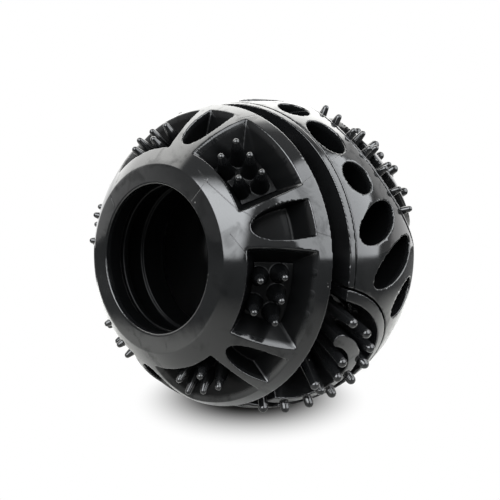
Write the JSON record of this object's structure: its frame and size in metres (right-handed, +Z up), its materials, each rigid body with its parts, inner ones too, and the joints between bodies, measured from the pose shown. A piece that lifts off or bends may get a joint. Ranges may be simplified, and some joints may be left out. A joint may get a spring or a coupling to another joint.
{
  "type": "rubber dental ball",
  "caption": "Hollow black rubber chew ball with a wide round mouth, a windowed front cap, a holed wavy band and chewing nubs in its recesses.",
  "frame": {"origin": "on the floor, under the middle of the ball's length and width", "axes": "the mouth faces -Y, +Z is up, +X is to the right when one looks into the mouth"},
  "size_m": [0.0824, 0.0798, 0.0824],
  "materials": {
    "cap_rubber": "glossy moulded rubber",
    "core_rubber": "satin moulded rubber",
    "band_rubber": "glossy moulded rubber",
    "rim_rubber": "glossy moulded rubber",
    "nub_rubber": "glossy moulded rubber"
  },
  "bodies": {
    "root": {"front_cap": "cap_rubber", "chamber_core": "core_rubber", "wave_band": "band_rubber", "band_bead_1": "band_rubber", "band_bead_2": "band_rubber", "front_nubs_1": "nub_rubber", "front_nubs_2": "nub_rubber", "front_nubs_3": "nub_rubber", "front_nubs_4": "nub_rubber", "front_nubs_5": "nub_rubber", "front_nubs_6": "nub_rubber", "side_rim_1": "rim_rubber", "side_rim_2": "rim_rubber", "side_hook_1": "rim_rubber", "side_hook_2": "rim_rubber", "side_pegs_1": "nub_rubber", "side_pegs_2": "nub_rubber", "rear_rim_1": "rim_rubber", "rear_rim_2": "rim_rubber", "rear_ladder_1": "nub_rubber", "rear_ladder_2": "nub_rubber", "rear_ring_1": "rim_rubber", "rear_ring_2": "rim_rubber", "rear_pegs_1": "nub_rubber", "rear_pegs_2": "nub_rubber"}
  },
  "joints": []
}
